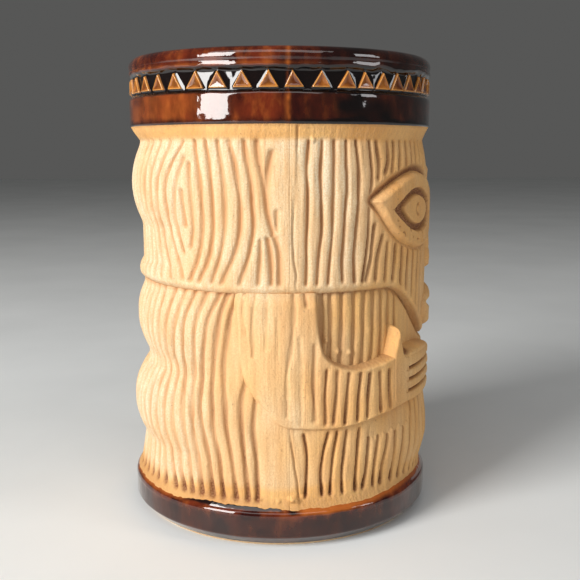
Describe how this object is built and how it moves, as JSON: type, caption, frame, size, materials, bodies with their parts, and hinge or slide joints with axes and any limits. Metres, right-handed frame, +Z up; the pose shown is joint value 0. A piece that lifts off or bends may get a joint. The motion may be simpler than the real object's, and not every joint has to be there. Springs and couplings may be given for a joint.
{
  "type": "tiki mug",
  "caption": "Cylindrical ceramic drinking mug carved as a tiki figure, with matte grooved clay walls, a glossy brown rim with a row of raised triangles, and a glossy foot band.",
  "frame": {"origin": "centre of the foot, on the plane that the mug stands on", "axes": "+Z up the mug's axis, the figure's face looks toward -Y, its right side toward -X"},
  "size_m": [0.0896, 0.0903, 0.1315],
  "materials": {
    "bisque_clay": "matte unglazed bisque with darker stain in the grooves",
    "brown_glaze": "very glossy dark reddish brown glaze, near black where it pools and amber where it is thin",
    "amber_glaze": "glossy thin glaze, amber over the raised clay",
    "liner_glaze": "glossy brown glaze, food safe liner"
  },
  "bodies": {
    "root": {"clay_body": "bisque_clay", "rim_glaze": "brown_glaze", "liner_glaze": "liner_glaze", "foot_glaze": "brown_glaze", "rim_triangles": "amber_glaze", "left_eye": "bisque_clay", "right_eye": "bisque_clay", "nose": "bisque_clay", "mouth": "bisque_clay", "left_arm": "bisque_clay", "right_arm": "bisque_clay", "left_hand": "bisque_clay", "right_hand": "bisque_clay"}
  },
  "joints": []
}
